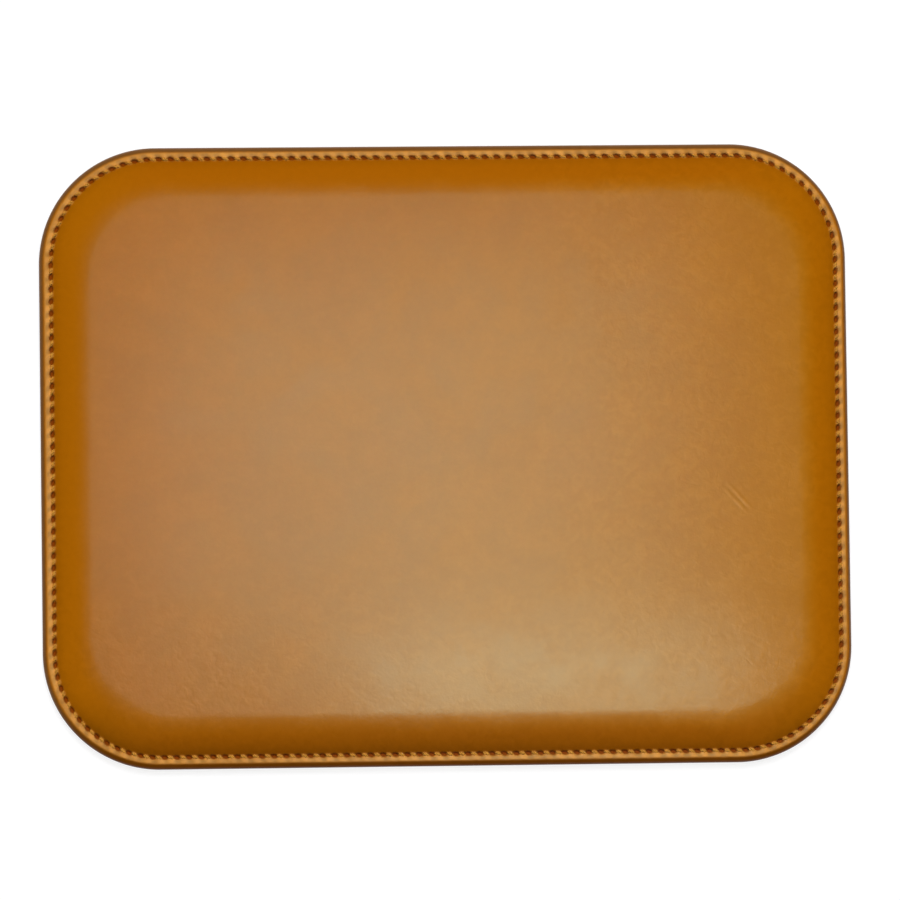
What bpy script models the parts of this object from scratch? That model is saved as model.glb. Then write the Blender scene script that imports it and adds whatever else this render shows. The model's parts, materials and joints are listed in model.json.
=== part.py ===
"""A padded leather desk mat with a turned, sewn edge.

The leather cover lies over a foam pad and a stiffener board, turns round the rim and is hemmed under the
board. A suede backing closes the underside, and one lockstitched seam holds the layers together all round.

Metres, +Z up. The origin is on the desk, under the middle of the mat. +X is the long side, to the user's
right, and +Y points away from the user.
"""

import math

import bmesh
import bpy

MM = 0.001

# Driving dimensions. An inset is a distance inwards from the mat's outline, along the desk.
WIDTH = 260 * MM
DEPTH = 199.5 * MM
CORNER_RADIUS = 37.5 * MM
BOND_LINE = 0.3 * MM  # the glue film between two layers
LEATHER = 1.0 * MM
HEM_THICKNESS = 0.5 * MM  # the leather is skived where it turns under
HEM_WIDTH = 11 * MM
BACKING = 1.0 * MM
BACKING_INSET = 2.0 * MM
BOARD_MARGIN = 0.8 * MM  # the board is thinned over the hem, so that the underside stays level
BOARD_EDGE_INSET = 1.3 * MM
FOAM = 1.8 * MM
FOAM_EDGE = 0.3 * MM  # the foam is bevelled down to this thickness
SEAM_INSET = 3.65 * MM
PAD_SHOULDER = 16.5 * MM  # where the slope of the padding meets the flat work surface
SLOPE_POWER = 2.0  # 1 is a straight slope, and more is rounder
NEEDLE_THREAD = 1.0 * MM
BOBBIN_THREAD = 0.5 * MM
THREAD_CLEARANCE = 0.1 * MM
SEAM_LEATHER = 0.4 * MM  # what the pulled thread leaves of the leather's thickness

# Heights above the desk, layer by layer.
HEM_BOTTOM = BACKING + BOND_LINE
HEM_TOP = HEM_BOTTOM + HEM_THICKNESS
BOARD_MARGIN_BOTTOM = HEM_TOP + BOND_LINE
BOARD_TOP = BOARD_MARGIN_BOTTOM + BOARD_MARGIN
FOAM_BOTTOM = BOARD_TOP + BOND_LINE
FOAM_TOP = FOAM_BOTTOM + FOAM
CROWN = FOAM_TOP + BOND_LINE + LEATHER
RIM_TOP = FOAM_BOTTOM + LEATHER
SEAM_FLOOR = FOAM_BOTTOM + SEAM_LEATHER

# The leather's roll round the rim: an ellipse outside, and a half circle inside it.
ROLL_REACH = 2.1 * MM
INNER_ROLL_RADIUS = (FOAM_BOTTOM - HEM_TOP) / 2
INNER_ROLL_INSET = LEATHER + INNER_ROLL_RADIUS

CORNER_SEGMENTS = 12
ROLL_SEGMENTS = 10
SLOPE_SEGMENTS = 8
EDGE_SEGMENTS = 4


def remove_everything():
    for obj in list(bpy.data.objects):
        bpy.data.objects.remove(obj)


def new_collection(name):
    collection = bpy.data.collections.new(name)
    bpy.context.scene.collection.children.link(collection)
    return collection


def new_material(name, colour, roughness):
    material = bpy.data.materials.new(name)
    material.use_nodes = True
    shader = material.node_tree.nodes["Principled BSDF"]
    shader.inputs["Base Color"].default_value = (*colour, 1)
    shader.inputs["Roughness"].default_value = roughness
    shader.inputs["Metallic"].default_value = 0
    return material


def outline(inset):
    """The mat's rounded rectangle, anticlockwise from the right-hand side, moved in by inset."""
    radius = CORNER_RADIUS - inset
    points = []
    for quarter, (side_x, side_y) in enumerate(((1, 1), (-1, 1), (-1, -1), (1, -1))):
        centre_x = side_x * (WIDTH / 2 - CORNER_RADIUS)
        centre_y = side_y * (DEPTH / 2 - CORNER_RADIUS)
        for step in range(CORNER_SEGMENTS + 1):
            angle = math.radians(90 * (quarter + step / CORNER_SEGMENTS))
            points.append((centre_x + radius * math.cos(angle), centre_y + radius * math.sin(angle)))
    return points


def arc(inset, height, reach, rise, start, end, segments):
    """Section points on an ellipse about (inset, height), from start to end degrees. 180 is outwards."""
    points = []
    for step in range(segments + 1):
        angle = math.radians(start + (end - start) * step / segments)
        points.append((inset + reach * math.cos(angle), height + rise * math.sin(angle)))
    return points


def finish(obj, material, collection):
    obj.data.materials.append(material)
    collection.objects.link(obj)
    return obj


def layer(name, section, material, collection):
    """A solid that follows the outline. Its section runs from the flat top, out over the edge and back
    to the flat bottom, as (inset, height) pairs. The rim of the top face is extruded along it."""
    shape = bmesh.new()
    place = shape.verts.layers.int.new("place_on_outline")
    first_inset, first_height = section[0]
    ring = []
    for index, (x, y) in enumerate(outline(first_inset)):
        vertex = shape.verts.new((x, y, first_height))
        vertex[place] = index
        ring.append(vertex)
    edges = list(shape.faces.new(ring).edges)
    for inset, height in section[1:]:
        path = outline(inset)
        extruded = bmesh.ops.extrude_edge_only(shape, edges=edges)["geom"]
        for vertex in (item for item in extruded if isinstance(item, bmesh.types.BMVert)):
            vertex.co = (*path[vertex[place]], height)
        edges = [item for item in extruded if isinstance(item, bmesh.types.BMEdge) and item.is_boundary]
    bmesh.ops.edgeloop_fill(shape, edges=edges)
    bmesh.ops.recalc_face_normals(shape, faces=shape.faces)
    mesh = bpy.data.meshes.new(name)
    shape.to_mesh(mesh)
    shape.free()
    mesh.shade_smooth()
    mesh.set_sharp_from_angle(angle=math.radians(30))
    return finish(bpy.data.objects.new(name, mesh), material, collection)


def thread_loop(name, height, diameter, material, collection):
    """A thread that runs once round the mat on the seam line."""
    curve = bpy.data.curves.new(name, "CURVE")
    curve.dimensions = "3D"
    curve.bevel_depth = diameter / 2
    curve.bevel_resolution = 2
    path = outline(SEAM_INSET)
    spline = curve.splines.new("POLY")
    spline.points.add(len(path) - 1)
    for point, (x, y) in zip(spline.points, path):
        point.co = (x, y, height, 1)
    spline.use_cyclic_u = True
    return finish(bpy.data.objects.new(name, curve), material, collection)


def slope_height(inset):
    """Height of the cover's face on the padded slope, between the seam and the shoulder."""
    along = (inset - slope_start()) / (PAD_SHOULDER - slope_start())
    return SEAM_FLOOR + (CROWN - SEAM_FLOOR) * (1 - (1 - along) ** SLOPE_POWER)


def slope_inset(height):
    """The inset at which the cover's face reaches a height: slope_height turned round."""
    rise = (height - SEAM_FLOOR) / (CROWN - SEAM_FLOOR)
    along = 1 - (1 - rise) ** (1 / SLOPE_POWER)
    return slope_start() + along * (PAD_SHOULDER - slope_start())


def seam_half_width():
    return NEEDLE_THREAD / 2 + THREAD_CLEARANCE


def slope_start():
    return SEAM_INSET + seam_half_width()


def slope_section(first, last, depth):
    """Points of the padded slope from one inset to another, depth below the cover's face."""
    points = []
    for step in range(SLOPE_SEGMENTS + 1):
        inset = first + (last - first) * step / SLOPE_SEGMENTS
        points.append((inset, slope_height(inset) - depth))
    return points


def top_cover(material, collection):
    """Leather: the flat face, the padded slope, the seam channel, the roll round the rim and the hem."""
    roll_middle = (RIM_TOP + HEM_BOTTOM) / 2
    inner_middle = (FOAM_BOTTOM + HEM_TOP) / 2
    section = slope_section(PAD_SHOULDER, slope_start(), 0)
    section.append((SEAM_INSET - seam_half_width(), SEAM_FLOOR))
    section += arc(ROLL_REACH, roll_middle, ROLL_REACH, RIM_TOP - roll_middle, 90, 270, ROLL_SEGMENTS)
    section += [(HEM_WIDTH, HEM_BOTTOM), (HEM_WIDTH, HEM_TOP)]
    section += arc(
        INNER_ROLL_INSET, inner_middle, INNER_ROLL_RADIUS, INNER_ROLL_RADIUS, 270, 90, ROLL_SEGMENTS
    )
    section += slope_section(slope_inset(FOAM_BOTTOM + LEATHER), PAD_SHOULDER, LEATHER)
    return layer("top_cover", section, material, collection)


def foam_pad(material, collection):
    """Foam sheet under the leather, with its margin bevelled to the slope."""
    depth = LEATHER + BOND_LINE
    edge = slope_inset(FOAM_BOTTOM + FOAM_EDGE + depth)
    section = slope_section(PAD_SHOULDER, edge, depth)
    section.append((edge, FOAM_BOTTOM))
    return layer("foam_pad", section, material, collection)


def stiffener_board(material, collection):
    """Fibreboard that keeps the mat flat. Its rounded margin is thinned underneath to take the hem."""
    radius = BOARD_MARGIN / 2
    edge = arc(BOARD_EDGE_INSET + radius, BOARD_TOP - radius, radius, radius, 90, 270, EDGE_SEGMENTS)
    hem_end = HEM_WIDTH + BOND_LINE
    section = [(PAD_SHOULDER, BOARD_TOP), *edge, (hem_end, BOARD_MARGIN_BOTTOM), (hem_end, HEM_BOTTOM)]
    return layer("stiffener_board", section, material, collection)


def backing_sheet(material, collection):
    """Suede sheet on the underside, pressed in where the bobbin thread lies."""
    channel = BOBBIN_THREAD / 2 + THREAD_CLEARANCE
    channel_top = BACKING - SEAM_LEATHER
    section = [
        (PAD_SHOULDER, BACKING),
        (BACKING_INSET, BACKING),
        (BACKING_INSET, 0),
        (SEAM_INSET - channel, 0),
        (SEAM_INSET - channel, channel_top),
        (SEAM_INSET + channel, channel_top),
        (SEAM_INSET + channel, 0),
    ]
    return layer("backing_sheet", section, material, collection)


def build():
    remove_everything()
    collection = new_collection("desk_mat")
    leather = new_material("tan_leather", (0.40, 0.17, 0.035), 0.42)
    foam = new_material("foam", (0.62, 0.60, 0.55), 0.95)
    board = new_material("fibreboard", (0.36, 0.24, 0.14), 0.85)
    suede = new_material("brown_suede", (0.10, 0.055, 0.03), 0.95)
    thread = new_material("waxed_thread", (0.48, 0.27, 0.08), 0.6)

    top_cover(leather, collection)
    foam_pad(foam, collection)
    stiffener_board(board, collection)
    backing_sheet(suede, collection)
    needle_height = SEAM_FLOOR + THREAD_CLEARANCE + NEEDLE_THREAD / 2
    thread_loop("needle_thread", needle_height, NEEDLE_THREAD, thread, collection)
    bobbin_height = BACKING - SEAM_LEATHER - THREAD_CLEARANCE - BOBBIN_THREAD / 2
    thread_loop("bobbin_thread", bobbin_height, BOBBIN_THREAD, thread, collection)


build()
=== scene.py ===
"""The looks of a padded leather desk mat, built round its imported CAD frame.

Metres, +Z up. +X is the long side, to the user's right, and +Y points away from the user. The front is
the edge nearest to the user. Round the rim, a place is given by its distance along the seam
(anticlockwise, seen from above), by its inset, which is its distance inwards from the mat's outline, and
by its height.
"""

import json
import math

import bmesh
import bpy
import numpy as np
from mathutils import Matrix, Vector, geometry, noise

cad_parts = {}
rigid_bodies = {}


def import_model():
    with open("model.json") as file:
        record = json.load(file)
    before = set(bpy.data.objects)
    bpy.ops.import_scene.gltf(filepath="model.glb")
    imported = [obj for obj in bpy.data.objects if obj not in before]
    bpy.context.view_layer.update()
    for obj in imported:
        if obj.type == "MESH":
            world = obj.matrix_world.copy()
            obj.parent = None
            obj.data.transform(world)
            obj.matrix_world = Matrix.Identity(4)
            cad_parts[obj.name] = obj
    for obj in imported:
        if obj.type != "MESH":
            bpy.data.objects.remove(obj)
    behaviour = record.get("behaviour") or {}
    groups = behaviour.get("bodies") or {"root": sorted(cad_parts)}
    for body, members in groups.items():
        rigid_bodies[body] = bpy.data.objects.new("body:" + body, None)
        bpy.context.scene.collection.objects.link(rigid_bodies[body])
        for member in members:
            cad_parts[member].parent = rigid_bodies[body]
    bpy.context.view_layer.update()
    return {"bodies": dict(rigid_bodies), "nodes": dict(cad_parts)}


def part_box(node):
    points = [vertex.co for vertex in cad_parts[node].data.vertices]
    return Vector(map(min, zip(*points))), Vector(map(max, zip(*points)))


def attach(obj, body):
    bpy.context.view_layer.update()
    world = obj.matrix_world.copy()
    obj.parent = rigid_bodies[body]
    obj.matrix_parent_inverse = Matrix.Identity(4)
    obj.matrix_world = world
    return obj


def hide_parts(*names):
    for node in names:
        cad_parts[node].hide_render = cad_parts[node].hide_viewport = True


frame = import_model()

MM = 0.001
ROOT = next(iter(frame["bodies"]))

# Sizes read from the frame.
COVER_LOW, COVER_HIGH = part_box("top_cover")
FOAM_LOW, FOAM_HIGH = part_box("foam_pad")
BACKING_LOW, BACKING_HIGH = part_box("backing_sheet")
NEEDLE_LOW, NEEDLE_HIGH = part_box("needle_thread")
BOBBIN_LOW, BOBBIN_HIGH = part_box("bobbin_thread")
BOARD_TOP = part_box("stiffener_board")[1].z

WIDTH = COVER_HIGH.x - COVER_LOW.x
DEPTH = COVER_HIGH.y - COVER_LOW.y
CROWN = COVER_HIGH.z
HEM_BOTTOM = COVER_LOW.z
NEEDLE_DIAMETER = NEEDLE_HIGH.z - NEEDLE_LOW.z
BOBBIN_DIAMETER = BOBBIN_HIGH.z - BOBBIN_LOW.z
BOBBIN_HEIGHT = (BOBBIN_HIGH.z + BOBBIN_LOW.z) / 2
SEAM_INSET = COVER_HIGH.x - NEEDLE_HIGH.x + NEEDLE_DIAMETER / 2
BACKING_INSET = COVER_HIGH.x - BACKING_HIGH.x
FOAM_INSET = COVER_HIGH.x - FOAM_HIGH.x

# Sizes that the frame's boxes don't give. They repeat the CAD model's.
CORNER_RADIUS = 37.5 * MM
LEATHER = 1.0 * MM
HEM_THICKNESS = 0.5 * MM
HEM_WIDTH = 11 * MM
RIM_TOP = 4.2 * MM
ROLL_REACH = 2.1 * MM
PAD_SHOULDER = 16.5 * MM  # the inset where the padded slope meets the flat face
SLOPE_POWER = 2.0  # 1 is a straight slope, and more is rounder
GLUE = 0.3 * MM
FOAM_EDGE = 0.3 * MM
HEM_TOP = HEM_BOTTOM + HEM_THICKNESS
ROLL_MIDDLE = (RIM_TOP + HEM_BOTTOM) / 2

# The seam: a lockstitch whose needle holes are pulled into long slanted pits, so that each stitch leans
# across the seam line and only its middle lies on top.
STITCHES = 214
HOLE_SLANT = math.radians(11)
HOLE_LENGTH = 2.45 * MM
HOLE_WIDTH = 1.5 * MM
HOLE_DEPTH = 0.74 * MM
HOLE_WALL = (0.6, 1.1)  # where a hole's wall begins and ends, as shares of the hole's half size
GROOVE_HEIGHT = 3.75 * MM
GROOVE_HALF_WIDTH = 0.4 * MM
STITCH_LEAN = 0.75 * MM  # how much further out a stitch ends than it starts
STITCH_TOP = 4.1 * MM  # height of the needle thread's middle where it lies over the leather
NEEDLE_BOTTOM = 2.0 * MM  # height of the needle thread's middle where it meets the bobbin thread
BOBBIN_TOP = 1.9 * MM  # the same for the bobbin thread
BOBBIN_HOLE = 0.7  # size of a hole on the underside, next to its size on top
STITCH_WOBBLE = 0.06 * MM

# A bridge is a tongue of leather that runs in from the bead between two holes. Its bands give where it
# begins, reaches its full height, leaves it and ends: as insets, and as parts of the way from one hole to
# the next.
BRIDGE_LEAN = 0.45  # how far it leans back along the seam for each step inwards
BRIDGE_RISE = 0.15 * MM
BRIDGE_INSETS = (2.5 * MM, 3.0 * MM, 3.9 * MM, 4.7 * MM)
BRIDGE_PHASES = (0.22, 0.40, 0.60, 0.78)

# The puckers: how high the leather stands between the holes, inside the seam and on the bead.
INNER_PUCKER = 0.05 * MM
INNER_PUCKER_INSETS = (SEAM_INSET + 0.3 * MM, SEAM_INSET + 1.1 * MM, 5.0 * MM, 8.0 * MM)
BEAD_PUCKER = 0.06 * MM
BEAD_PUCKER_INSETS = (0.6 * MM, 2.0 * MM, 2.6 * MM, SEAM_INSET)

# The channel that the bobbin thread presses into the backing, and the dimple at each hole.
CHANNEL_DEPTH = 0.38 * MM
CHANNEL_INSETS = tuple(SEAM_INSET + side * MM for side in (-0.8, -0.3, 0.3, 0.8))
DIMPLE_DEPTH = 0.3 * MM

# Made by hand: the seam is sewn a little off centre, and nearer the edge at the short sides than at the
# long ones. The padding stops further in along the front, where it also falls off more sharply, and its
# corners are a little rounder than they would be at an even distance from the edge.
SEAM_SHIFT = np.array((0.25 * MM, 0.07 * MM))
SEAM_SPREAD = 0.11 * MM
FRONT_SHOULDER_DRIFT = 0.6 * MM
FRONT_SLOPE_POWER = 1.55
SHOULDER_RADIUS = 26 * MM
SHOULDER_STEPS = 30

# The leather's unevenness over the foam is made of waves of two lengths. It fades in up the slope.
BROAD_WAVE = 55 * MM
BROAD_HEIGHT = 0.08 * MM
BROAD_SEED = 3.1
SMALL_WAVE = 17 * MM
SMALL_HEIGHT = 0.012 * MM
SMALL_SEED = 7.7
SLOPE_FOOT = 6 * MM
SLOPE_UPPER = 14 * MM


def smoothstep(low, high, value):
    """0 up to low, 1 from high on, and smooth between them."""
    t = np.clip((np.asarray(value, dtype=float) - low) / (high - low), 0, 1)
    return t * t * (3 - 2 * t)


def band(low, peak_low, peak_high, high, value):
    """Rises from 0 at low to 1 at peak_low, stays there up to peak_high, and falls to 0 at high."""
    return smoothstep(low, peak_low, value) * (1 - smoothstep(peak_high, high, value))


# The seam line

SIDES = (DEPTH - 2 * CORNER_RADIUS, WIDTH - 2 * CORNER_RADIUS)
REACHES = (WIDTH / 2 - SEAM_INSET, DEPTH / 2 - SEAM_INSET)
SEAM_RADIUS = CORNER_RADIUS - SEAM_INSET
SEAM_LENGTH = 2 * sum(SIDES) + 2 * math.pi * SEAM_RADIUS
PITCH = SEAM_LENGTH / STITCHES


def seam_line(distance):
    """Points on the seam line and outward normals, at distances along it. It starts at the lower end of
    the right-hand side."""
    distance = np.mod(np.asarray(distance, dtype=float), SEAM_LENGTH)
    points = np.zeros((len(distance), 2))
    normals = np.zeros((len(distance), 2))
    start = 0.0
    for quarter in range(4):
        side = SIDES[quarter % 2]
        reach = REACHES[quarter % 2]
        angle = quarter * math.pi / 2
        normal = np.array((math.cos(angle), math.sin(angle)))
        along = np.array((-math.sin(angle), math.cos(angle)))
        on_side = (distance >= start) & (distance < start + side)
        step = distance[on_side] - start - side / 2
        points[on_side] = normal * reach + step[:, None] * along
        normals[on_side] = normal
        start += side
        arc = SEAM_RADIUS * math.pi / 2
        on_arc = (distance >= start) & (distance <= start + arc + 1e-9)
        turned = angle + (distance[on_arc] - start) / SEAM_RADIUS
        outward = np.stack((np.cos(turned), np.sin(turned)), axis=1)
        corner = normal * (reach - SEAM_RADIUS) + along * side / 2
        points[on_arc] = corner + SEAM_RADIUS * outward
        normals[on_arc] = outward
        start += arc
    return points, normals


def front_weight(normals):
    """1 along the front edge, 0 along the others, and smooth round the corners between them."""
    return smoothstep(0.3, 1, -normals[:, 1])


def shoulder_drift(points, normals):
    """How much further in than PAD_SHOULDER the padding's shoulder lies, next to points on the seam line.
    The shoulder is a rounded rectangle, which is found by stepping inwards along the normals: each step
    is as long as the place is still away from it."""
    centre = np.array((0, FRONT_SHOULDER_DRIFT / 2))
    half_size = np.array((WIDTH / 2, (DEPTH - FRONT_SHOULDER_DRIFT) / 2)) - PAD_SHOULDER
    core = half_size - SHOULDER_RADIUS
    travelled = np.zeros(len(points))
    for _ in range(SHOULDER_STEPS):
        beyond = np.abs(points - normals * travelled[:, None] - centre) - core
        outside = np.linalg.norm(np.maximum(beyond, 0), axis=1) + np.minimum(beyond.max(axis=1), 0)
        travelled += np.maximum(outside - SHOULDER_RADIUS, 0)
    return travelled - (PAD_SHOULDER - SEAM_INSET)


def drift(inset, points, normals):
    """The inset of a place on the mat as made, from its inset on a perfectly even one."""
    off_line = SEAM_SPREAD * (normals[:, 1] ** 2 - normals[:, 0] ** 2) - normals @ SEAM_SHIFT
    seam = off_line * band(0, SEAM_INSET, SLOPE_FOOT, SLOPE_UPPER, inset)
    return inset + seam + shoulder_drift(points, normals) * smoothstep(SLOPE_FOOT, PAD_SHOULDER, inset)


def place(distance, inset, height):
    """Points in space at distances along the seam. Inset and height are numbers or arrays."""
    points, normals = seam_line(distance)
    flat = points + normals * (SEAM_INSET - drift(inset, points, normals))[:, None]
    heights = np.broadcast_to(height, (len(flat),))
    return np.column_stack((flat, heights))


def depth_inside(points, rim):
    """How far points lie inside an anticlockwise rim of closely spaced points."""
    along = np.roll(rim, -1, axis=0) - np.roll(rim, 1, axis=0)
    inward = np.column_stack((-along[:, 1], along[:, 0])) / np.linalg.norm(along, axis=1)[:, None]
    nearest = np.argmin(np.linalg.norm(points[:, None] - rim[None], axis=2), axis=1)
    return np.sum((points - rim[nearest]) * inward[nearest], axis=1)


def triangle_grid(spacing):
    """Points of an even triangle grid that covers the mat."""
    row_height = spacing * math.sqrt(0.75)
    rows = int(DEPTH / 2 / row_height)
    columns = int(WIDTH / 2 / spacing)
    return np.array([
        ((column + 0.5 * (row % 2)) * spacing, row * row_height)
        for row in range(-rows, rows + 1)
        for column in range(-columns, columns + 1)
    ])


def new_object(name, mesh, material):
    mesh.materials.append(material)
    obj = bpy.data.objects.new(name, mesh)
    bpy.context.scene.collection.objects.link(obj)
    return obj


def turn_faces_outwards(mesh):
    shape = bmesh.new()
    shape.from_mesh(mesh)
    bmesh.ops.recalc_face_normals(shape, faces=shape.faces)
    shape.to_mesh(mesh)
    shape.free()


# Meshes made of rings round the mat

SHARP_ANGLE = math.radians(60)  # an edge that turns by more than this stays sharp
CLEAR_OF_RIM = 0.6  # how far a grid point keeps from the rim, in spacings
INSIDE_ONLY = 1  # makes delaunay_2d_cdt return only the triangles inside the edges
SAME_POINT = 1e-7  # points closer together than this are merged


class Shell:
    """A mesh built from rings that follow the seam, each with its own number of points. Every point can
    carry values for the material, one of each named kind."""

    def __init__(self, *value_names):
        self.points = []
        self.faces = []
        self.values = {name: [] for name in value_names}
        self.count = 0

    def ring(self, points, **values):
        """Adds points with their values, and returns their numbers. A kind that isn't given is 0."""
        self.points.append(points)
        for name, kept in self.values.items():
            kept.append(np.broadcast_to(values.get(name, 0.0), (len(points),)))
        numbers = np.arange(self.count, self.count + len(points))
        self.count += len(points)
        return numbers

    def join(self, rings):
        """Joins each ring to the next one."""
        for first, second in zip(rings, rings[1:]):
            if len(first) == len(second):
                following = np.roll(first, -1)
                beside = np.roll(second, -1)
                self.faces += np.column_stack((first, following, beside, second)).tolist()
            elif len(first) > len(second):
                self.join_unlike(first, second)
            else:
                self.join_unlike(second, first)

    def join_unlike(self, fine, coarse):
        """Joins two rings, of which fine has 2, 3 or more times as many points as coarse."""
        ratio = len(fine) // len(coarse)
        for index, corner in enumerate(coarse.tolist()):
            beyond = int(coarse[(index + 1) % len(coarse)])
            run = [int(fine[(index * ratio + step) % len(fine)]) for step in range(ratio + 1)]
            middle = ratio // 2
            self.faces += [(run[step], run[step + 1], corner) for step in range(middle)]
            self.faces += [(run[step], run[step + 1], beyond) for step in range(middle, ratio)]
            self.faces.append((run[middle], beyond, corner))

    def fill(self, ring, spacing, height_at, **values):
        """Fills a ring with a triangle mesh of about the given spacing. height_at gives the height of its
        points from arrays of their x and y."""
        rim = np.concatenate(self.points)[ring][:, :2]
        edges = [(index, (index + 1) % len(ring)) for index in range(len(ring))]
        grid = triangle_grid(spacing)
        inside = grid[depth_inside(grid, rim) > CLEAR_OF_RIM * spacing]
        flat_points = [Vector(point) for point in np.concatenate((rim, inside)).tolist()]
        made = geometry.delaunay_2d_cdt(flat_points, edges, [], INSIDE_ONLY, SAME_POINT)
        flat, faces, sources = made[0], made[2], made[3]
        numbers = {}
        extra = []
        for index, source in enumerate(sources):
            if source[0] < len(ring):
                numbers[index] = int(ring[source[0]])
            else:
                extra.append(index)
        places = np.array([(flat[index].x, flat[index].y) for index in extra])
        added = self.ring(np.column_stack((places, height_at(places[:, 0], places[:, 1]))), **values)
        numbers.update(zip(extra, added.tolist()))
        self.faces += [[numbers[index] for index in face] for face in faces]

    def make(self, name, material):
        mesh = bpy.data.meshes.new(name)
        mesh.from_pydata(np.concatenate(self.points).tolist(), [], self.faces)
        for value_name, kept in self.values.items():
            attribute = mesh.attributes.new(value_name, "FLOAT", "POINT")
            attribute.data.foreach_set("value", np.concatenate(kept).astype(np.float32))
        turn_faces_outwards(mesh)
        mesh.shade_smooth()
        mesh.set_sharp_from_angle(angle=SHARP_ANGLE)
        return new_object(name, mesh, material)


def stitch_columns(per_stitch):
    """Distances along the seam of evenly spaced columns. Every needle hole has one."""
    return np.arange(STITCHES * per_stitch) * PITCH / per_stitch


def stitch_phase(distance):
    """How far along its stitch a place is: 0 at a needle hole, up to 1 at the next."""
    return np.mod(distance / PITCH, 1)


def unevenness(x, y):
    """The slight unevenness of leather laid over foam by hand, as heights."""
    heights = []
    for across, up in zip(x, y):
        broad = noise.noise(Vector((across / BROAD_WAVE, up / BROAD_WAVE, BROAD_SEED)))
        small = noise.noise(Vector((across / SMALL_WAVE, up / SMALL_WAVE, SMALL_SEED)))
        heights.append(BROAD_HEIGHT * broad + SMALL_HEIGHT * small)
    return np.array(heights)


# The leather cover

PRESSED_GLUE = 0.05 * MM  # what the seam leaves of the glue between the leather and the board
FAR_IN = 30.0  # an inset in millimetres that is clear of every band in the material


def slope_height(inset, power=SLOPE_POWER):
    """Height of the padded slope, which rises from the seam and rounds off into the flat face."""
    start = SEAM_INSET + GROOVE_HALF_WIDTH
    along = np.clip((inset - start) / (PAD_SHOULDER - start), 0, 1)
    return GROOVE_HEIGHT + (CROWN - GROOVE_HEIGHT) * (1 - (1 - along) ** power)


def needle_hole(distance, inset, size=1.0):
    """0 outside the needle holes, 1 at the bottom of one. Each is a pit that slants across the seam."""
    phase = stitch_phase(distance)
    along = np.where(phase > 0.5, phase - 1, phase) * PITCH
    across = inset - SEAM_INSET
    length = along * math.cos(HOLE_SLANT) - across * math.sin(HOLE_SLANT)
    width = along * math.sin(HOLE_SLANT) + across * math.cos(HOLE_SLANT)
    reach = np.sqrt((length / (HOLE_LENGTH / 2)) ** 2 + (width / (HOLE_WIDTH / 2)) ** 2) / size
    return 1 - smoothstep(*HOLE_WALL, reach)


def leaning_phase(distance, inset):
    """The phase of a stitch along lines that lean back like the bridges."""
    return stitch_phase(distance + BRIDGE_LEAN * (inset - SEAM_INSET))


def bridge(distance, inset):
    """1 on the bridge of leather between two needle holes, which lies under the thread."""
    return band(*BRIDGE_INSETS, inset) * band(*BRIDGE_PHASES, leaning_phase(distance, inset))


def between_holes(distance, inset):
    """0 in line with the needle holes and 1 midway between them, leaning back like the bridges."""
    return 0.5 - 0.5 * np.cos(2 * math.pi * leaning_phase(distance, inset))


def pucker(distance, inset):
    """Height of the leather that is drawn down at each needle hole and left high between them."""
    wave = -np.cos(2 * math.pi * stitch_phase(distance))
    inside = INNER_PUCKER * band(*INNER_PUCKER_INSETS, inset)
    bead = BEAD_PUCKER * band(*BEAD_PUCKER_INSETS, inset)
    return (inside + bead) * wave + BRIDGE_RISE * bridge(distance, inset)


def face_height(distance, inset):
    """Height of the cover's face from the top of the bead, across the seam, to the flat middle."""
    bead_side = smoothstep(ROLL_REACH, SEAM_INSET + GROOVE_HALF_WIDTH, inset)
    bead = RIM_TOP + (GROOVE_HEIGHT - RIM_TOP) * bead_side
    front = front_weight(seam_line(distance)[1])
    slope = slope_height(inset, SLOPE_POWER + (FRONT_SLOPE_POWER - SLOPE_POWER) * front)
    height = np.where(inset < SEAM_INSET + GROOVE_HALF_WIDTH, bead, slope)
    return height + pucker(distance, inset) - HOLE_DEPTH * needle_hole(distance, inset)


def face_ring(shell, per_stitch, inset):
    """A ring on the cover's upper face."""
    distance = stitch_columns(per_stitch)
    inset = np.full(len(distance), inset)
    points = place(distance, inset, face_height(distance, inset))
    points[:, 2] += unevenness(points[:, 0], points[:, 1]) * smoothstep(SLOPE_FOOT, SLOPE_UPPER, inset)
    return shell.ring(
        points,
        inset_mm=inset / MM,
        front=front_weight(seam_line(distance)[1]),
        needle_hole=needle_hole(distance, inset),
        bridge=bridge(distance, inset),
        between_holes=between_holes(distance, inset),
    )


def roll_ring(shell, per_stitch, angle):
    """A ring on the leather's roll round the rim. 90 degrees is the top of the bead, 270 its underside.
    The underside's insets are below 0 for the material, which leaves it unburnished."""
    distance = stitch_columns(per_stitch)
    turn = math.radians(angle)
    inset = np.full(len(distance), ROLL_REACH + ROLL_REACH * math.cos(turn))
    height = ROLL_MIDDLE + (RIM_TOP - ROLL_MIDDLE) * math.sin(turn)
    points = place(distance, inset, height + pucker(distance, inset) * max(math.sin(turn), 0))
    painted = inset if angle < 180 else -inset
    return shell.ring(
        points,
        inset_mm=painted / MM,
        front=front_weight(seam_line(distance)[1]),
        between_holes=between_holes(distance, inset),
    )


def hidden_ring(shell, inset, height):
    """A level ring on the hem or inside the cover, with insets below 0 for the material."""
    distance = stitch_columns(1)
    inset = np.full(len(distance), inset)
    points = place(distance, inset, height)
    return shell.ring(points, inset_mm=-inset / MM, front=front_weight(seam_line(distance)[1]))


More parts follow.
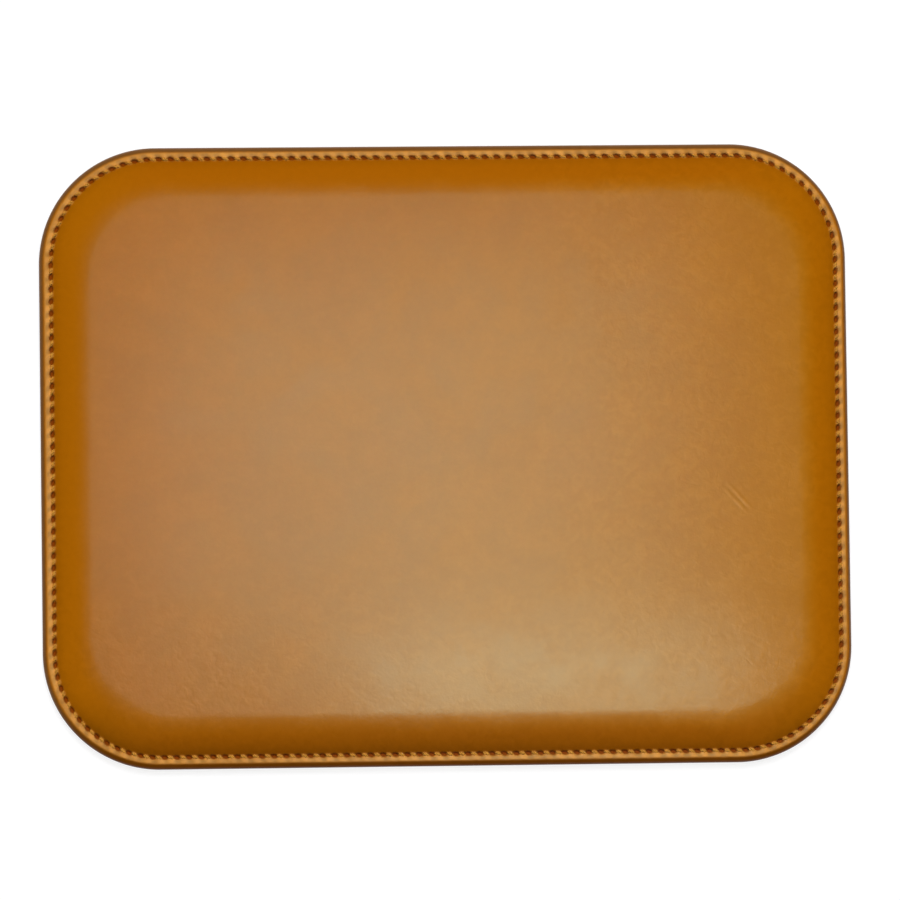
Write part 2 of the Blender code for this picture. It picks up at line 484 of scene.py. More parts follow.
def upper_rings(shell):
    """The rings from the flat face down the slope, across the seam and round the rim. They are closest,
    and have most points to a stitch, at the needle holes."""
    rings = [face_ring(shell, 3, inset * MM) for inset in (17.5, 16.5, 15.6, 14.6)]
    rings += [face_ring(shell, 6, inset * MM) for inset in (13.5, 12.4, 11.2, 10.0, 8.9, 7.9, 7.0)]
    inside_seam = (6.2, 5.6, 5.15, 4.8, 4.55, 4.35, 4.2, 4.05, 3.9, 3.7)
    outside_seam = (3.5, 3.3, 3.15, 3.0, 2.85, 2.65, 2.4)
    rings += [face_ring(shell, 12, inset * MM) for inset in inside_seam + outside_seam]
    rings += [roll_ring(shell, 12, angle) for angle in (90, 103, 116)]
    rings += [roll_ring(shell, 6, angle) for angle in (130, 144, 158, 172, 186)]
    rings += [roll_ring(shell, 3, angle) for angle in (202, 220, 240, 256, 270)]
    return rings


def hidden_rings(shell):
    """The rings of the hem, of the roll's inner side, and of the face that lies on the board and foam."""
    rings = [hidden_ring(shell, inset, HEM_BOTTOM) for inset in (3.5 * MM, 7 * MM, HEM_WIDTH)]
    rings.append(hidden_ring(shell, HEM_WIDTH, HEM_TOP))
    inner_top = BOARD_TOP + GLUE
    inner_radius = (inner_top - HEM_TOP) / 2
    for angle in (270, 240, 210, 180, 150, 120, 90):
        turn = math.radians(angle)
        inset = LEATHER + inner_radius + inner_radius * math.cos(turn)
        rings.append(hidden_ring(shell, inset, HEM_TOP + inner_radius * (1 + math.sin(turn))))
    rings += [hidden_ring(shell, inset, BOARD_TOP + PRESSED_GLUE) for inset in (2.7 * MM, 5 * MM)]
    for inset in (7 * MM, 9 * MM, 11.5 * MM, 14 * MM, PAD_SHOULDER):
        rings.append(hidden_ring(shell, inset, max(slope_height(inset) - LEATHER, inner_top)))
    return rings


def leather_cover(material):
    shell = Shell("inset_mm", "front", "needle_hole", "bridge", "between_holes")
    rings = upper_rings(shell) + hidden_rings(shell)
    shell.join(rings)
    shell.fill(rings[0], 2.4 * MM, lambda x, y: CROWN + unevenness(x, y), inset_mm=FAR_IN)
    shell.fill(rings[-1], 12 * MM, lambda x, y: np.full(len(x), CROWN - LEATHER), inset_mm=-FAR_IN)
    return shell.make("leather_cover", material)


# The foam under it

FOAM_BEVEL_RINGS = 9
FOAM_DIP = 0.5  # how much of the leather's dips the foam has


def foam(material):
    """The foam, whose margin is bevelled to the slope. Its face dips a little where the leather does."""
    shell = Shell()

    def ring(per_stitch, inset, height):
        distance = stitch_columns(per_stitch)
        return shell.ring(place(distance, np.full(len(distance), inset), height))

    rings = []
    for inset in np.linspace(PAD_SHOULDER, FOAM_INSET, FOAM_BEVEL_RINGS):
        height = max(slope_height(inset) - LEATHER - GLUE, FOAM_LOW.z + FOAM_EDGE)
        rings.append(ring(2, inset, height))
    rings.append(ring(2, FOAM_INSET, FOAM_LOW.z))
    rings.append(ring(1, PAD_SHOULDER, FOAM_LOW.z))
    shell.join(rings)
    shell.fill(rings[0], 5 * MM, lambda x, y: FOAM_HIGH.z + FOAM_DIP * np.minimum(unevenness(x, y), 0))
    shell.fill(rings[-1], 10 * MM, lambda x, y: np.full(len(x), FOAM_LOW.z))
    return shell.make("foam_sheet", material)


# The suede backing

SUEDE_EDGE = 0.15 * MM  # how much its cut edge is rounded


def backing_bottom(distance, inset):
    """Height of the underside: a channel along the seam, with a dimple at every needle hole."""
    channel = CHANNEL_DEPTH * band(*CHANNEL_INSETS, inset)
    return channel + DIMPLE_DEPTH * needle_hole(distance, inset, BOBBIN_HOLE)


def suede_backing(material):
    shell = Shell("needle_hole")
    top = BACKING_HIGH.z

    def edge_ring(per_stitch, inset, height):
        distance = stitch_columns(per_stitch)
        return shell.ring(place(distance, np.full(len(distance), inset), height))

    def bottom_ring(per_stitch, inset):
        distance = stitch_columns(per_stitch)
        inset = np.full(len(distance), inset)
        points = place(distance, inset, backing_bottom(distance, inset))
        return shell.ring(points, needle_hole=needle_hole(distance, inset, BOBBIN_HOLE))

    rings = [
        edge_ring(2, PAD_SHOULDER, top),
        edge_ring(2, BACKING_INSET + SUEDE_EDGE, top),
        edge_ring(2, BACKING_INSET, top - SUEDE_EDGE),
        edge_ring(2, BACKING_INSET, 2 * SUEDE_EDGE),
        edge_ring(4, BACKING_INSET + SUEDE_EDGE, 0.3 * SUEDE_EDGE),
    ]
    seam_insets = (2.5, 2.9, 3.15, 3.4, 3.65, 3.9, 4.15, 4.4, 4.65, 4.9, 5.4)
    rings += [bottom_ring(8, inset * MM) for inset in seam_insets]
    rings += [bottom_ring(4, 7 * MM), bottom_ring(2, 10 * MM), bottom_ring(1, PAD_SHOULDER)]
    shell.join(rings)
    shell.fill(rings[0], 10 * MM, lambda x, y: np.full(len(x), top))
    shell.fill(rings[-1], 5 * MM, lambda x, y: np.zeros(len(x)))
    return shell.make("suede_backing", material)


# The two threads

PLIES = 3
PLY_SQUASH = 1.04  # the plies are this much thicker than would just touch, so that they press together


def lengths_of(vectors):
    return np.linalg.norm(vectors, axis=1)[:, None]


def twisted_thread(name, path, sideways, diameter, lay, sides, material):
    """A closed loop of twisted yarn along path, an array of points. sideways are horizontal directions
    across it, lay is the length in which a ply goes once round, and sides is how many a ply has."""
    step = np.roll(path, -1, axis=0) - path
    last_step = np.roll(step, 1, axis=0)
    tangent = last_step / lengths_of(last_step) + step / lengths_of(step)
    tangent /= lengths_of(tangent)
    side = sideways - tangent * np.sum(sideways * tangent, axis=1)[:, None]
    side /= lengths_of(side)
    upward = np.cross(tangent, side)

    def across(angle, radius):
        return radius * (np.cos(angle)[:, None] * side + np.sin(angle)[:, None] * upward)

    travelled = np.concatenate(((0,), np.cumsum(lengths_of(step))))
    turns = round(travelled[-1] / lay)
    twist = 2 * math.pi * turns * travelled[:-1] / travelled[-1]
    points = []
    faces = []
    count = len(path)
    places = np.arange(count)
    following = np.roll(places, -1)
    for ply in range(PLIES):
        turned = twist + 2 * math.pi * ply / PLIES
        centre = path + across(turned, diameter / 4)
        first = ply * count * sides
        for corner in range(sides):
            angle = turned + 2 * math.pi * corner / sides
            points.append(centre + across(angle, diameter / 4 * PLY_SQUASH))
        for corner in range(sides):
            beside = (corner + 1) % sides
            faces.append(np.column_stack((
                first + corner * count + places,
                first + corner * count + following,
                first + beside * count + following,
                first + beside * count + places,
            )))
    mesh = bpy.data.meshes.new(name)
    mesh.from_pydata(np.concatenate(points).tolist(), [], np.concatenate(faces).tolist())
    turn_faces_outwards(mesh)
    mesh.shade_smooth()
    return new_object(name, mesh, material)


# One stitch, from a needle hole to the next: (part of the way, height from 0 in the hole to 1 on top).
STITCH_SHAPE = (
    (0.00, 0.00), (0.08, 0.02), (0.16, 0.07), (0.22, 0.18), (0.27, 0.38), (0.31, 0.61), (0.35, 0.81),
    (0.39, 0.93), (0.44, 0.99), (0.50, 1.00), (0.56, 0.99), (0.61, 0.93), (0.65, 0.81), (0.69, 0.61),
    (0.73, 0.38), (0.78, 0.18), (0.84, 0.07), (0.92, 0.02),
)
STITCH_CROSSES = (0.22, 0.78)  # the part of the way in which it crosses the seam line
WOBBLE_STEP = 0.77  # how far apart in the noise the wobbles of two neighbouring stitches are taken
WOBBLE_SEED = 1.3


def stitched_path(low, high, lean):
    """The path of a thread that is at low in every hole and at high over, or under, each stitch. lean is
    how much further out a stitch ends than it starts."""
    distances = []
    insets = []
    heights = []
    for stitch in range(STITCHES):
        wobble = STITCH_WOBBLE * noise.noise(Vector((stitch * WOBBLE_STEP, WOBBLE_SEED, 0)))
        for part, rise in STITCH_SHAPE:
            distances.append((stitch + part) * PITCH)
            outward = float(smoothstep(*STITCH_CROSSES, part)) - 0.5 if part > 0 else 0
            insets.append(SEAM_INSET - lean * outward + wobble)
            heights.append(low + (high - low) * rise)
    distances = np.array(distances)
    path = place(distances, np.array(insets), np.array(heights))
    sideways = np.column_stack((seam_line(distances)[1], np.zeros(len(distances))))
    return path, sideways


def needle_thread(material):
    path, sideways = stitched_path(NEEDLE_BOTTOM, STITCH_TOP, STITCH_LEAN)
    return twisted_thread(
        "needle_stitches", path, sideways, NEEDLE_DIAMETER, lay=2.4 * MM, sides=6, material=material
    )


def bobbin_thread(material):
    path, sideways = stitched_path(BOBBIN_TOP, BOBBIN_HEIGHT, -STITCH_LEAN / 2)
    return twisted_thread(
        "bobbin_stitches", path, sideways, BOBBIN_DIAMETER, lay=1.6 * MM, sides=5, material=material
    )


# Materials

MIX_COLOURS = ("A_Color", "B_Color")  # the colour inputs among those of a mix node


class Nodes:
    """A Principled material, with short ways to add and link the nodes that drive it. Where a method
    takes a value, another node's output will do too."""

    def __init__(self, name, **values):
        self.material = bpy.data.materials.new(name)
        self.material.use_nodes = True
        self.tree = self.material.node_tree
        self.shader = self.tree.nodes["Principled BSDF"]
        for key, value in values.items():
            self.shader.inputs[key.replace("_", " ")].default_value = value
        self.position = self.add("ShaderNodeTexCoord").outputs["Object"]
        self.split = self.add("ShaderNodeSeparateXYZ")
        self.put(self.split.inputs[0], self.position)

    def add(self, kind, **settings):
        node = self.tree.nodes.new(kind)
        for key, value in settings.items():
            setattr(node, key, value)
        return node

    def put(self, socket, value):
        """Links a socket to another node's output, or gives it a value."""
        if isinstance(value, bpy.types.NodeSocket):
            self.tree.links.new(value, socket)
        else:
            socket.default_value = value

    def x(self):
        return self.split.outputs["X"]

    def y(self):
        return self.split.outputs["Y"]

    def z(self):
        return self.split.outputs["Z"]

    def attribute(self, name):
        return self.add("ShaderNodeAttribute", attribute_name=name).outputs["Fac"]

    def math(self, operation, *values, clamp=False):
        node = self.add("ShaderNodeMath", operation=operation, use_clamp=clamp)
        for socket, value in zip(node.inputs, values):
            self.put(socket, value)
        return node.outputs[0]

    def plus(self, first, second):
        return self.math("ADD", first, second)

    def minus(self, first, second):
        return self.math("SUBTRACT", first, second)

    def times(self, first, second):
        return self.math("MULTIPLY", first, second)

    def larger(self, first, second):
        return self.math("MAXIMUM", first, second)

    def size_of(self, value):
        return self.math("ABSOLUTE", value)

    def ramp(self, value, low, high, to_low=0.0, to_high=1.0):
        """A smooth change from to_low to to_high as value goes from low to high."""
        node = self.add("ShaderNodeMapRange", interpolation_type="SMOOTHSTEP")
        for socket, setting in zip(node.inputs, (value, low, high, to_low, to_high)):
            self.put(socket, setting)
        return node.outputs[0]

    def band(self, value, low, peak_low, peak_high, high):
        """Rises from 0 at low to 1 at peak_low, stays there up to peak_high, and falls to 0 at high."""
        rise = self.ramp(value, low, peak_low)
        fall = self.ramp(value, peak_high, high, 1.0, 0.0)
        return self.times(rise, fall)

    def mapping(self, scale=(1, 1, 1), turn=0.0, shift=(0, 0, 0)):
        """Coordinates for a pattern that is stretched by scale, turned, and moved to shift."""
        node = self.add("ShaderNodeMapping", vector_type="TEXTURE")
        self.put(node.inputs["Vector"], self.position)
        node.inputs["Location"].default_value = shift
        node.inputs["Rotation"].default_value = (0, 0, turn)
        node.inputs["Scale"].default_value = scale
        return node.outputs[0]

    def noise(self, size, detail=3.0, roughness=0.5, distortion=0.0, vector=None):
        """Noise from 0 to 1, whose features are about the given size in metres."""
        node = self.add("ShaderNodeTexNoise")
        self.put(node.inputs["Vector"], vector or self.position)
        node.inputs["Scale"].default_value = 1 / size
        node.inputs["Detail"].default_value = detail
        node.inputs["Roughness"].default_value = roughness
        node.inputs["Distortion"].default_value = distortion
        return node.outputs["Fac"]

    def cells(self, size, feature="F1"):
        """Cells of about the given size: 0 in the middle of each, and more towards its edge."""
        node = self.add("ShaderNodeTexVoronoi", feature=feature)
        self.put(node.inputs["Vector"], self.position)
        node.inputs["Scale"].default_value = 1 / size
        return node.outputs["Distance"]

    def short_creases(self, size, degrees):
        """1 along short thin creases, about size apart, that mostly run the way given in degrees."""
        turned = self.mapping(scale=(2.2, 1, 1), turn=math.radians(degrees))
        waves = self.noise(size / 2, detail=1, roughness=0.6, distortion=0.6, vector=turned)
        line = self.ramp(self.size_of(self.minus(waves, 0.5)), 0.0, 0.14, 1.0, 0.0)
        gaps = self.ramp(self.noise(size * 0.7, detail=1), 0.46, 0.60)
        return self.times(line, gaps)

    def double_scratch(self, centre, degrees, length, gap):
        """1 along two short lines beside each other, gap apart, with centre between them."""
        split = self.add("ShaderNodeSeparateXYZ")
        self.put(split.inputs[0], self.mapping(turn=math.radians(degrees), shift=(*centre, 0)))
        along = self.size_of(split.outputs["X"])
        across = self.size_of(split.outputs["Y"])
        off_line = self.size_of(self.minus(across, gap / 2))
        line = self.ramp(off_line, 0.0, gap / 2, 1.0, 0.0)
        return self.times(line, self.ramp(along, length * 0.2, length / 2, 1.0, 0.0))

    def mix(self, factor, first, second):
        """A colour that goes from first to second as factor goes from 0 to 1."""
        node = self.add("ShaderNodeMix", data_type="RGBA")
        self.put(node.inputs["Factor"], factor)
        colour_a, colour_b = (socket for socket in node.inputs if socket.identifier in MIX_COLOURS)
        for socket, value in ((colour_a, first), (colour_b, second)):
            self.put(socket, (*value, 1) if isinstance(value, tuple) else value)
        return next(socket for socket in node.outputs if socket.identifier == "Result_Color")

    def scaled(self, colour, factor):
        """A colour with each channel multiplied by one factor."""
        node = self.add("ShaderNodeVectorMath", operation="SCALE")
        self.put(node.inputs[0], colour)
        self.put(node.inputs["Scale"], factor)
        return node.outputs[0]

    def bump(self, height, distance, below=None):
        """A surface with bumps, distance high where height is 1, on top of the bumps of below."""
        node = self.add("ShaderNodeBump")
        self.put(node.inputs["Height"], height)
        node.inputs["Distance"].default_value = distance
        node.inputs["Strength"].default_value = 1.0
        if below is not None:
            self.put(node.inputs["Normal"], below)
        return node.outputs[0]

    def drive(self, **links):
        """Links the shader's inputs, and returns the finished material."""
        for key, value in links.items():
            self.put(self.shader.inputs[key.replace("_", " ")], value)
        return self.material


# Base colours of the leather. It is paler and yellower to the front right, and redder to the left.
FACE_LEFT = (0.366, 0.113, 0.001)
FACE_RIGHT = (0.408, 0.145, 0.003)
SLOPE = (0.387, 0.110, 0.0)
SLOPE_AT_ENDS = (0.402, 0.121, 0.0)
# Pale stretched leather carrying a painted highlight, for the bead and the tongues between the holes.
RUBBED_AND_HIGHLIT = (0.55, 0.232, 0.038)
BURNISHED = (0.138, 0.058, 0.014)
# The edge along the front, darker as painted shade.
BURNISHED_FRONT_IN_SHADE = (0.120, 0.033, 0.0)
# Inside the needle holes: darker raw leather, darkened further as painted shade.
HOLE_WITH_SHADE = (0.20, 0.037, 0.0)

# Base colours of the rest, as pairs that each material varies between.
THREAD_COLOURS = ((0.50, 0.215, 0.025), (0.57, 0.26, 0.035))
# The thread down in the needle holes, darkened as painted shade.
SHADED_THREAD = (0.18, 0.038, 0.0)
SUEDE_COLOURS = ((0.085, 0.042, 0.02), (0.125, 0.066, 0.034))
FOAM_COLOURS = ((0.60, 0.58, 0.52), (0.66, 0.63, 0.54))
BOARD_COLOURS = ((0.33, 0.22, 0.13), (0.40, 0.28, 0.17))

SCRATCH_PLACE = (0.0936, -0.0148)
SCRATCH_TURN = -47  # degrees


def hide_colour(nodes, cloud, patch, slope_share):
    """The colours of the face and the slope, before the slope is darkened by deeper dyeing and painted
    shade.
    """
    side = nodes.minus(nodes.x(), nodes.times(nodes.y(), 0.5))
    side = nodes.ramp(nodes.plus(side, nodes.times(cloud, 0.08)), -0.06, 0.17)
    face = nodes.mix(side, FACE_LEFT, FACE_RIGHT)
    face = nodes.scaled(face, nodes.ramp(cloud, 0.3, 0.7, 0.98, 1.02))
    face = nodes.scaled(face, nodes.ramp(patch, 0.3, 0.7, 0.965, 1.035))
    at_ends = nodes.ramp(nodes.size_of(nodes.x()), 0.09, 0.115)
    return nodes.mix(slope_share, face, nodes.mix(at_ends, SLOPE, SLOPE_AT_ENDS))


def deepened_and_shaded(nodes, colour, inset, front):
    """Colour darkened on the slope, partly dyed deeper and partly painted shade: most by the seam, where
    painted shade darkens the foot of the slope, and most of all along the front edge, where painted shade
    darkens the whole slope.
    """
    deepest = nodes.ramp(inset, 4.0, 17.0, 1.0, 0.0)
    # Painted shade on the front slope, a little less towards the right.
    front_dye_and_shade = nodes.ramp(nodes.x(), 0.0, 0.11, 0.40, 0.33)
    dye_and_shade = nodes.times(deepest, nodes.ramp(front, 0.0, 1.0, 0.12, front_dye_and_shade))
    # Painted shade at the foot of the slope, next to the seam.
    dye_and_shade = nodes.plus(dye_and_shade, nodes.ramp(inset, 4.0, 7.5, 0.08, 0.0))
    return nodes.scaled(colour, nodes.minus(1.0, dye_and_shade))


def rubbed_and_highlit(nodes, colour, inset, patch, bead):
    """Colour with the bead and the tongues between the holes made pale: partly leather worn pale by
    stretching and rubbing, and partly a painted highlight. Near the seam a painted highlight makes the
    bead lighter where it swells between the holes, at some more than at others."""
    share = nodes.times(bead, nodes.ramp(patch, 0.3, 0.65, 0.72, 1.0))
    share = nodes.larger(share, nodes.times(nodes.attribute("bridge"), 0.8))
    # Painted highlight on the bead where it swells between the holes.
    swell_highlight = nodes.times(nodes.attribute("between_holes"), 0.6)
    swell_highlight = nodes.plus(swell_highlight, nodes.ramp(nodes.noise(2.4 * MM, detail=2), 0.35, 0.65, -0.5, -0.1))
    swell_highlight = nodes.times(swell_highlight, nodes.ramp(inset, 1.4, 2.4))
    return nodes.mix(share, colour, nodes.scaled(RUBBED_AND_HIGHLIT, nodes.ramp(swell_highlight, -0.5, 0.5, 0.76, 1.24)))


def burnished_and_shaded(nodes, colour, inset, front, fleck):
    """Colour with the dark edge outside the bead: burnish, with painted shade that makes it reach further
    in along the front and the back, less far at the right-hand end, and darker along the front.
    """
    # Painted shade: the dark band's width changes from side to side.
    back = nodes.ramp(nodes.y(), 0.08, 0.099)
    right_end = nodes.ramp(nodes.x(), 0.115, 0.128)
    edge = nodes.minus(inset, nodes.times(front, 0.4))
    edge = nodes.plus(edge, nodes.times(right_end, 0.2))
    edge = nodes.minus(edge, nodes.times(back, 0.3))
    edge = nodes.plus(edge, nodes.times(fleck, 0.3))
    share = nodes.ramp(edge, 0.85, 1.75, 0.9, 0.0)
    return nodes.mix(share, colour, nodes.mix(front, BURNISHED, BURNISHED_FRONT_IN_SHADE))


def looseness(nodes, patch):
    """How much the grain shows: most to the right and along the front, where the hide was looser."""
    right = nodes.ramp(nodes.x(), 0.02, 0.06)
    low = nodes.ramp(nodes.y(), -0.02, -0.075, 0.0, 0.8)
    loose = nodes.math("MULTIPLY_ADD", nodes.larger(right, low), 0.8, 0.2)
    return nodes.times(loose, nodes.ramp(patch, 0.35, 0.6, 0.35, 1.0))


def leather_material():
    """Tan pull-up leather. The middle is pale. The slope is darker, partly dyed and partly painted shade.
    The bead is pale where the leather is stretched, with a painted highlight on it, and the edge outside
    the bead is darkened by burnish and painted shade. Its insets are in millimetres, and its x and y in
    metres."""
    nodes = Nodes("tan_leather", IOR=1.45)
    inset = nodes.attribute("inset_mm")
    front = nodes.attribute("front")
    hole = nodes.attribute("needle_hole")
    cloud = nodes.noise(38 * MM, detail=4, roughness=0.55)
    patch = nodes.noise(9 * MM, detail=5, roughness=0.6)
    fleck = nodes.noise(1.6 * MM, detail=3, roughness=0.6)
    slope_share = nodes.ramp(nodes.plus(inset, nodes.times(patch, 3.0)), 10.5, 18.0, 1.0, 0.0)
    # Where the pale bead and its painted highlight go, a little further in along the front.
    bead = nodes.band(nodes.minus(inset, nodes.times(front, 0.15)), 1.15, 2.0, 3.0, 3.75)

    colour = hide_colour(nodes, cloud, patch, slope_share)
    colour = deepened_and_shaded(nodes, colour, inset, front)
    colour = rubbed_and_highlit(nodes, colour, inset, patch, bead)
    colour = burnished_and_shaded(nodes, colour, inset, front, fleck)
    # Painted shade in the needle holes.
    colour = nodes.mix(nodes.times(hole, 0.95), colour, HOLE_WITH_SHADE)
    colour = nodes.scaled(colour, nodes.ramp(fleck, 0.2, 0.8, 0.975, 1.025))

    loose = looseness(nodes, patch)
    wrinkle = nodes.noise(3.0 * MM, detail=1.5, roughness=0.5, distortion=0.5)
    crease = nodes.larger(nodes.short_creases(6.5 * MM, 62), nodes.short_creases(8.5 * MM, -40))
    crease = nodes.times(crease, loose)
    wrinkle_relief = nodes.times(nodes.minus(wrinkle, 0.5), loose)
    scratch = nodes.double_scratch(SCRATCH_PLACE, SCRATCH_TURN, 15 * MM, 1.9 * MM)
    # Painted shade in the creases, and painted light and shade on the wrinkles: lighter where they rise,
    # darker where they dip.
    colour = nodes.scaled(colour, nodes.ramp(crease, 0.0, 1.0, 1.0, 0.97))
    colour = nodes.scaled(colour, nodes.ramp(wrinkle_relief, -0.15, 0.15, 0.965, 1.035))
    colour = nodes.scaled(colour, nodes.ramp(scratch, 0.0, 1.0, 1.0, 1.05))

    # Surface: soft waves, wrinkles, creases and a fine pebble grain with pores.
    pebble = nodes.cells(0.75 * MM, feature="SMOOTH_F1")
    pore = nodes.ramp(nodes.cells(1.3 * MM), 0.04, 0.14, -1.0, 0.0)
    normal = nodes.bump(nodes.noise(7 * MM, detail=3), 0.04 * MM)
    normal = nodes.bump(nodes.times(wrinkle, loose), 0.06 * MM, below=normal)
    normal = nodes.bump(nodes.times(crease, -1.0), 0.014 * MM, below=normal)
    normal = nodes.bump(scratch, 0.045 * MM, below=normal)
    normal = nodes.bump(pebble, 0.012 * MM, below=normal)
    normal = nodes.bump(pore, 0.008 * MM, below=normal)

    # The slope is the shiniest, and the rubbed bead and the holes are dull.
    roughness = nodes.ramp(patch, 0.3, 0.7, 0.29, 0.35)
    roughness = nodes.minus(roughness, nodes.times(slope_share, 0.07))
    roughness = nodes.larger(roughness, 0.285)
    roughness = nodes.plus(roughness, nodes.times(bead, 0.2))
    roughness = nodes.math("ADD", roughness, nodes.times(hole, 0.7), clamp=True)
    shine = nodes.ramp(slope_share, 0.0, 1.0, 0.5, 0.32)
    shine = nodes.times(shine, nodes.ramp(wrinkle_relief, -0.15, 0.15, 0.94, 1.06))
    return nodes.drive(Base_Color=colour, Roughness=roughness, Normal=normal, Specular_IOR_Level=shine)


def thread_material():
    """Waxed thread, painted darker inside the holes as painted shade."""
    nodes = Nodes("waxed_thread", Specular_IOR_Level=0.15)
    fibre = nodes.noise(0.12 * MM, detail=2, vector=nodes.mapping(scale=(1, 1, 3)))
    tone = nodes.noise(7 * MM, detail=2)
    colour = nodes.mix(nodes.ramp(tone, 0.3, 0.7), *THREAD_COLOURS)
    colour = nodes.scaled(colour, nodes.ramp(fibre, 0.25, 0.75, 0.88, 1.1))
    # Painted shade on the thread where it goes down into the holes.
    inside = nodes.band(nodes.z(), 0.8 * MM, 1.2 * MM, 3.2 * MM, 4.0 * MM)
    return nodes.drive(
        Base_Color=nodes.mix(inside, colour, SHADED_THREAD),
        Roughness=nodes.ramp(fibre, 0.2, 0.8, 0.42, 0.6),
        Normal=nodes.bump(fibre, 0.02 * MM),
    )


def suede_material():
    """Brown suede, with its nap brushed lighter and darker, and dark inside the needle holes."""
    nodes = Nodes("brown_suede", Sheen_Weight=0.35, Sheen_Roughness=0.45)
    nap = nodes.noise(0.35 * MM, detail=3, roughness=0.7)
    brushed = nodes.noise(14 * MM, detail=4, roughness=0.6, distortion=0.8)
    colour = nodes.mix(nodes.ramp(brushed, 0.35, 0.65), *SUEDE_COLOURS)
    colour = nodes.scaled(colour, nodes.ramp(nap, 0.25, 0.75, 0.8, 1.2))
    hole_shade = nodes.ramp(nodes.attribute("needle_hole"), 0.0, 1.0, 1.0, 0.3)
    return nodes.drive(
        Base_Color=nodes.scaled(colour, hole_shade),
        Roughness=nodes.ramp(nap, 0.2, 0.8, 0.85, 1.0),
        Normal=nodes.bump(nap, 0.06 * MM),
    )


def foam_material():
    """Pale open-celled foam, yellowed a little in places, with painted shade in the hollows of its cells.
    """
    nodes = Nodes("foam")
    bubbles = nodes.cells(0.5 * MM)
    age = nodes.noise(20 * MM, detail=3)
    colour = nodes.mix(nodes.ramp(age, 0.3, 0.7), *FOAM_COLOURS)
    return nodes.drive(
        # Painted shade: darker towards the middle of each cell, where the bump dips.
        Base_Color=nodes.scaled(colour, nodes.ramp(bubbles, 0.0, 0.6, 0.75, 1.0)),
        Roughness=nodes.ramp(bubbles, 0.0, 0.6, 1.0, 0.9),
        Normal=nodes.bump(bubbles, 0.15 * MM),
    )


def board_material():
    """Pressed fibreboard, whose fibres mostly lie along the mat."""
    nodes = Nodes("fibreboard")
    fibre = nodes.noise(0.8 * MM, detail=4, roughness=0.7, vector=nodes.mapping(scale=(4, 1, 1)))
    pulp = nodes.noise(5 * MM, detail=5, roughness=0.65)
    colour = nodes.mix(nodes.ramp(pulp, 0.3, 0.7), *BOARD_COLOURS)
    return nodes.drive(
        Base_Color=nodes.scaled(colour, nodes.ramp(fibre, 0.25, 0.75, 0.82, 1.12)),
        Roughness=nodes.ramp(fibre, 0.2, 0.8, 0.8, 0.95),
        Normal=nodes.bump(fibre, 0.03 * MM),
    )


# The studio

CAMERA_DISTANCE = 2.1
CAMERA_WEST = math.radians(3.7)
CAMERA_SOUTH = math.radians(3.17)
CAMERA_ROLL = math.radians(0.77)  # the mat lies turned by this much in the picture, anticlockwise
FRAME_WIDTH = 0.2892  # what the picture shows at the mat, side to side
AIM = Vector((1.28 * MM, 1.69 * MM, 3 * MM))

SHEEN_COLOUR = (0.69, 1.0, 0.76)  # of the lights that the face of the leather mirrors

FLOOR_REACH = 12
FLOOR_GAP = 0.02 * MM  # keeps the floor just clear of the suede
FLOOR_GREY = 0.25
FLOOR_GLOW = 0.8
WALL_GLOW = 0.75
CEILING_GLOW = 0.015
WALL_FADE = (0.1, 0.5)  # sines of the elevations between which the walls fade into the ceiling
COOL_WHITE = (0.97, 0.98, 1, 1)


def look_at(obj, target, up=(0, 1, 0)):
    """Turns a camera or light so that it faces target, with up upwards in its picture."""
    away = (obj.location - Vector(target)).normalized()
    right = Vector(up).cross(away).normalized()
    obj.rotation_mode = "QUATERNION"
    obj.rotation_quaternion = Matrix((right, away.cross(right), away)).transposed().to_quaternion()


def camera():
    """A long lens from above, a little to the south-west of the mat."""
    data = bpy.data.cameras.new("camera")
    data.sensor_width = 36
    data.lens = data.sensor_width * CAMERA_DISTANCE / FRAME_WIDTH
    data.clip_start = 0.1
    data.clip_end = 50
    obj = bpy.data.objects.new("camera", data)
    bpy.context.scene.collection.objects.link(obj)
    away = Vector((-math.sin(CAMERA_WEST), -math.sin(CAMERA_SOUTH), 0))
    away.z = math.sqrt(1 - away.length_squared)
    obj.location = AIM + away * CAMERA_DISTANCE
    look_at(obj, AIM, up=(math.sin(CAMERA_ROLL), math.cos(CAMERA_ROLL), 0))
    bpy.context.scene.camera = obj


def area_light(name, place_at, target, size, power, colour=(1, 1, 1), gloss=True, diffuse=True):
    """A light that the camera doesn't see. Without gloss nothing mirrors it, and without diffuse it does
    nothing but be mirrored."""
    data = bpy.data.lights.new(name, "AREA")
    data.shape = "RECTANGLE"
    data.size, data.size_y = size
    data.energy = power
    data.color = colour
    obj = bpy.data.objects.new(name, data)
    bpy.context.scene.collection.objects.link(obj)
    obj.location = place_at
    look_at(obj, target)
    obj.visible_camera = False
    obj.visible_glossy = gloss
    obj.visible_diffuse = diffuse
    data.cycles.use_multiple_importance_sampling = gloss and diffuse


def sheen_light(name, across, up, height, size, power):
    """A light straight above (across, up) on the mat that is only mirrored."""
    area_light(
        name, (across, up, height), (across, up, 0), size, power, colour=SHEEN_COLOUR, diffuse=False
    )


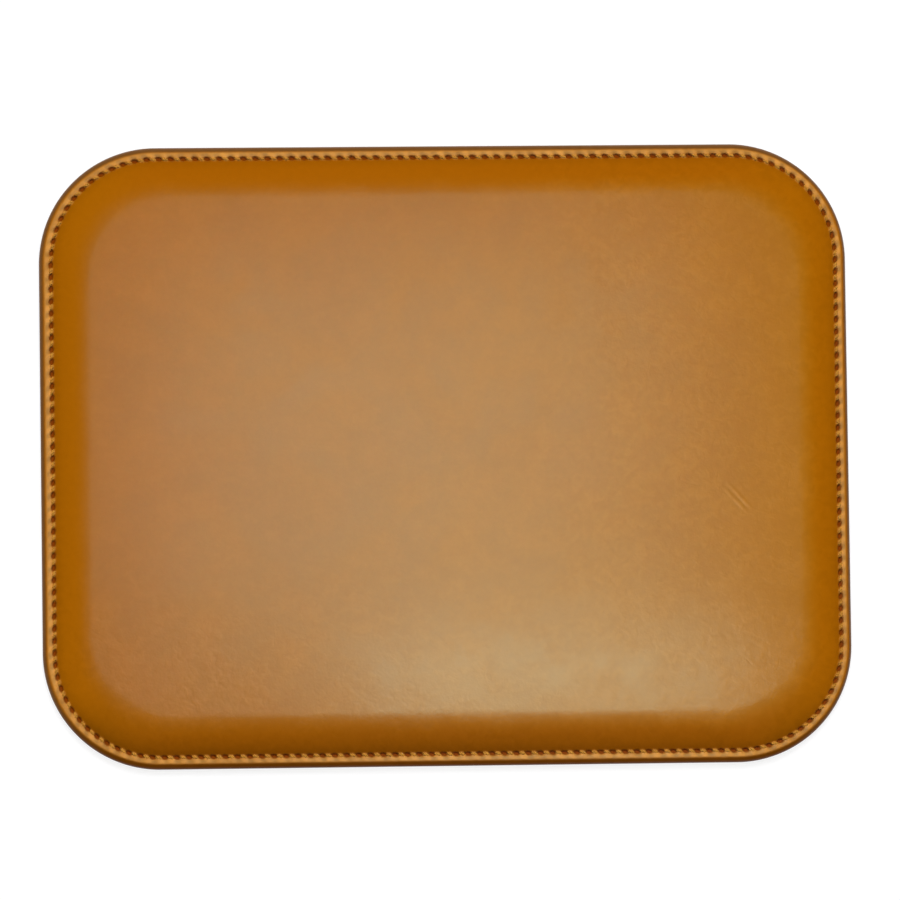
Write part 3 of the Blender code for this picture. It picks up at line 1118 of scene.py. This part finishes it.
def floor():
    """A glowing white floor, on which the mat throws only a faint shadow."""
    nodes = Nodes("pale_floor", Roughness=0.9, Specular_IOR_Level=0.0, Emission_Strength=FLOOR_GLOW)
    nodes.shader.inputs["Base Color"].default_value = (FLOOR_GREY, FLOOR_GREY, FLOOR_GREY, 1)
    nodes.shader.inputs["Emission Color"].default_value = (1, 1, 1, 1)
    mesh = bpy.data.meshes.new("floor")
    shape = bmesh.new()
    bmesh.ops.create_grid(shape, x_segments=1, y_segments=1, size=FLOOR_REACH)
    shape.to_mesh(mesh)
    shape.free()
    obj = new_object("floor", mesh, nodes.material)
    obj.location.z = -FLOOR_GAP


def studio_world():
    """A dim studio whose walls are pale near the floor."""
    world = bpy.data.worlds.new("studio")
    bpy.context.scene.world = world
    world.use_nodes = True
    tree = world.node_tree
    direction = tree.nodes.new("ShaderNodeTexCoord").outputs["Generated"]
    split = tree.nodes.new("ShaderNodeSeparateXYZ")
    fade = tree.nodes.new("ShaderNodeMapRange")
    fade.interpolation_type = "SMOOTHSTEP"
    tree.links.new(direction, split.inputs[0])
    tree.links.new(split.outputs["Z"], fade.inputs["Value"])
    for socket, value in zip(fade.inputs[1:5], (*WALL_FADE, WALL_GLOW, CEILING_GLOW)):
        socket.default_value = value
    background = tree.nodes["Background"]
    background.inputs["Color"].default_value = COOL_WHITE
    tree.links.new(fade.outputs["Result"], background.inputs["Strength"])


def studio():
    floor()
    studio_world()
    area_light("north_key", (0.0, 1.3, 2.1), (0, 0, 0), size=(1.2, 1.0), power=43, gloss=False)
    area_light("top_fill", (0.0, 0.0, 2.2), (0, 0, 0), size=(1.6, 1.6), power=20.5, gloss=False)
    sheen_light("sheen_panel", 0.001, 0.012, height=0.278, size=(0.206, 0.187), power=0.54)
    sheen_light("sheen_core", 0.003, 0.009, height=0.278, size=(0.12, 0.10), power=0.035)
    sheen_light("sheen_strip", 0.044, -0.071, height=0.119, size=(0.133, 0.029), power=0.079)
    bpy.context.scene.view_settings.view_transform = "Standard"


def build():
    leather = leather_material()
    thread = thread_material()

    cover = leather_cover(leather)
    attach(cover, ROOT)
    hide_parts("top_cover")

    pad = foam(foam_material())
    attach(pad, ROOT)
    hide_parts("foam_pad")

    backing = suede_backing(suede_material())
    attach(backing, ROOT)
    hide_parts("backing_sheet")

    needle = needle_thread(thread)
    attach(needle, ROOT)
    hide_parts("needle_thread")

    bobbin = bobbin_thread(thread)
    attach(bobbin, ROOT)
    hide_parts("bobbin_thread")

    board = frame["nodes"]["stiffener_board"]
    board.material_slots[0].material = board_material()


build()
camera()
studio()
